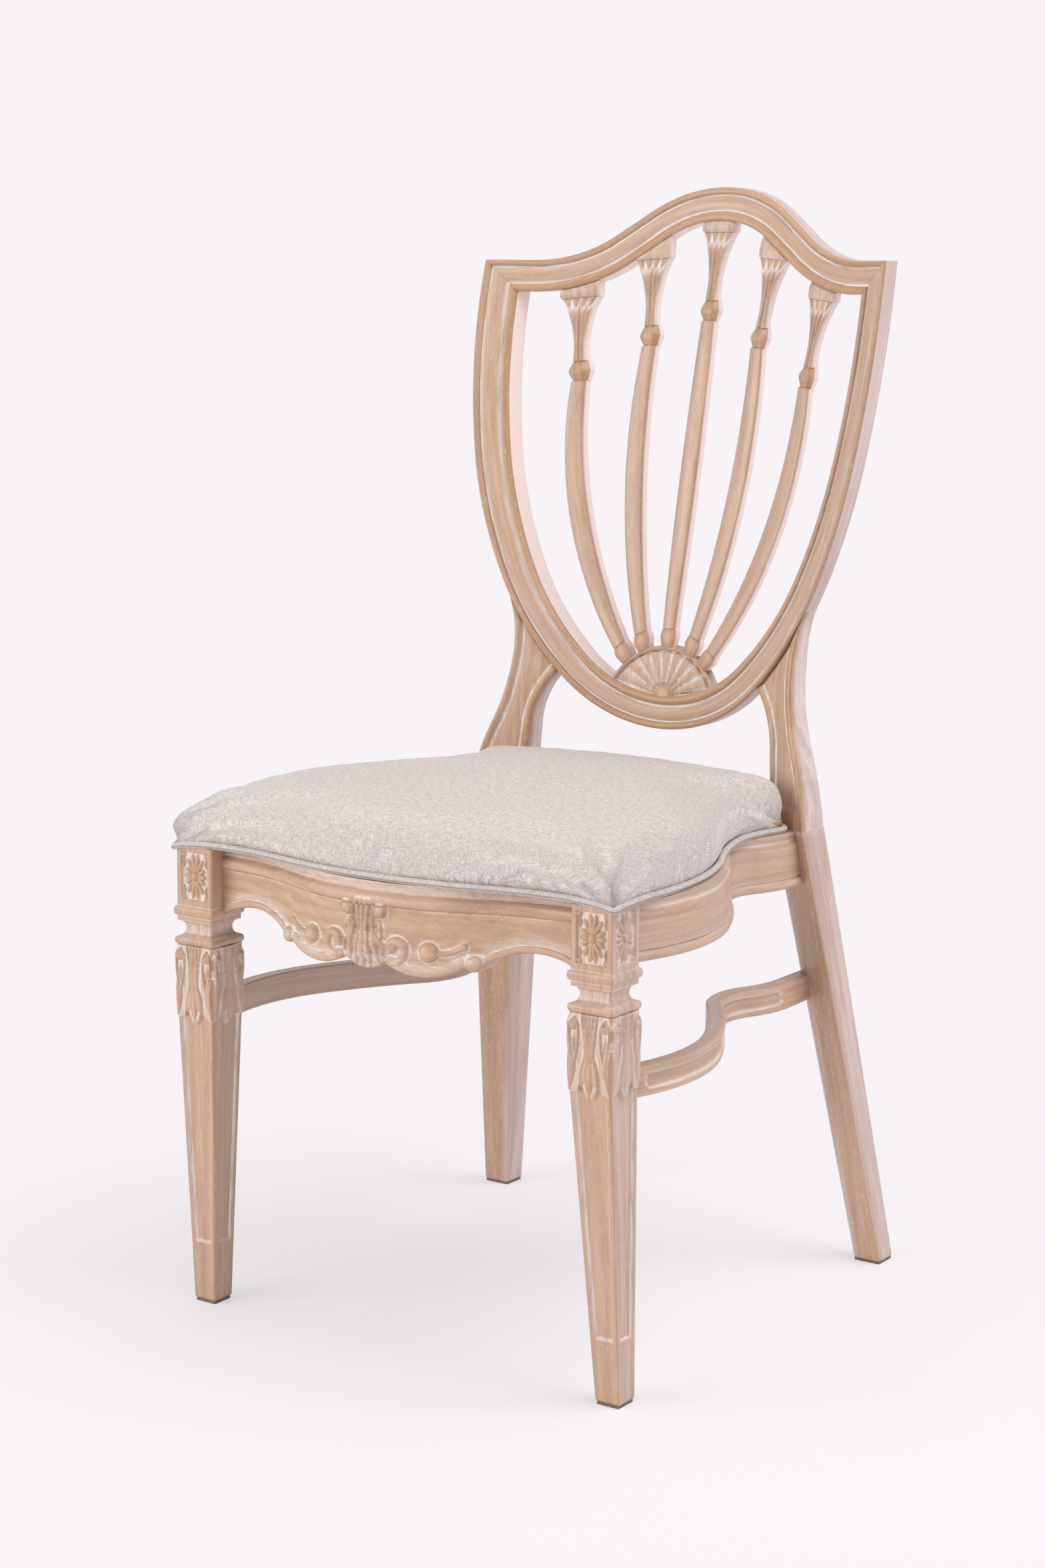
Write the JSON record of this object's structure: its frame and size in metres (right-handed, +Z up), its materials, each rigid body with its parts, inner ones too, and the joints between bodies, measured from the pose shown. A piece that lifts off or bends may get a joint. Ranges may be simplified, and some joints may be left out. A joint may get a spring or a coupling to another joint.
{
  "type": "shield-back dining chair",
  "caption": "Dining chair with a carved shield back, slender fanned splats, serpentine seat rails, tapered legs and an upholstered seat with a piped edge.",
  "frame": {"origin": "on the floor, at the centre of the chair's box in plan", "axes": "+Z up, +Y towards the back of the chair, +X to the right of someone who faces the chair"},
  "size_m": [0.4706, 0.5715, 0.9895],
  "materials": {
    "limed_oak": "tan open-grain wood with white wax left in the pores, grooves and carving, satin",
    "block": "bare sawn hardwood",
    "dowel": "bare turned hardwood",
    "plywood": "bare plywood",
    "linen": "heathered grey-beige plain weave, matt",
    "foam": "open-cell upholstery foam",
    "lining": "thin black non-woven lining",
    "steel": "zinc-plated steel",
    "glide": "dark moulded nylon"
  },
  "bodies": {
    "root": {"back_post_left": "limed_oak", "back_post_right": "limed_oak", "crest_rail": "limed_oak", "dust_cover": "lining", "fan_boss": "limed_oak", "front_apron": "limed_oak", "front_apron_dowels": "dowel", "front_corner_block_left": "block", "front_corner_block_right": "block", "front_glide_left": "glide", "front_glide_right": "glide", "front_leg_left": "limed_oak", "front_leg_right": "limed_oak", "mitre_dowels": "dowel", "post_dowels": "dowel", "rear_apron": "limed_oak", "rear_apron_dowels": "dowel", "rear_corner_block_left": "block", "rear_corner_block_right": "block", "rear_glide_left": "glide", "rear_glide_right": "glide", "rear_leg_left": "limed_oak", "rear_leg_right": "limed_oak", "seam_bolts": "steel", "seat_board": "plywood", "seat_cover": "linen", "seat_foam": "foam", "seat_piping": "linen", "seat_screws": "steel", "shield_bow": "limed_oak", "side_apron_front_dowels": "dowel", "side_apron_left": "limed_oak", "side_apron_rear_dowels": "dowel", "side_apron_right": "limed_oak", "side_stretcher_left": "limed_oak", "side_stretcher_right": "limed_oak", "splat_centre": "limed_oak", "splat_dowels": "dowel", "splat_inner_left": "limed_oak", "splat_inner_right": "limed_oak", "splat_outer_left": "limed_oak", "splat_outer_right": "limed_oak", "stretcher_dowels": "dowel"}
  },
  "joints": []
}
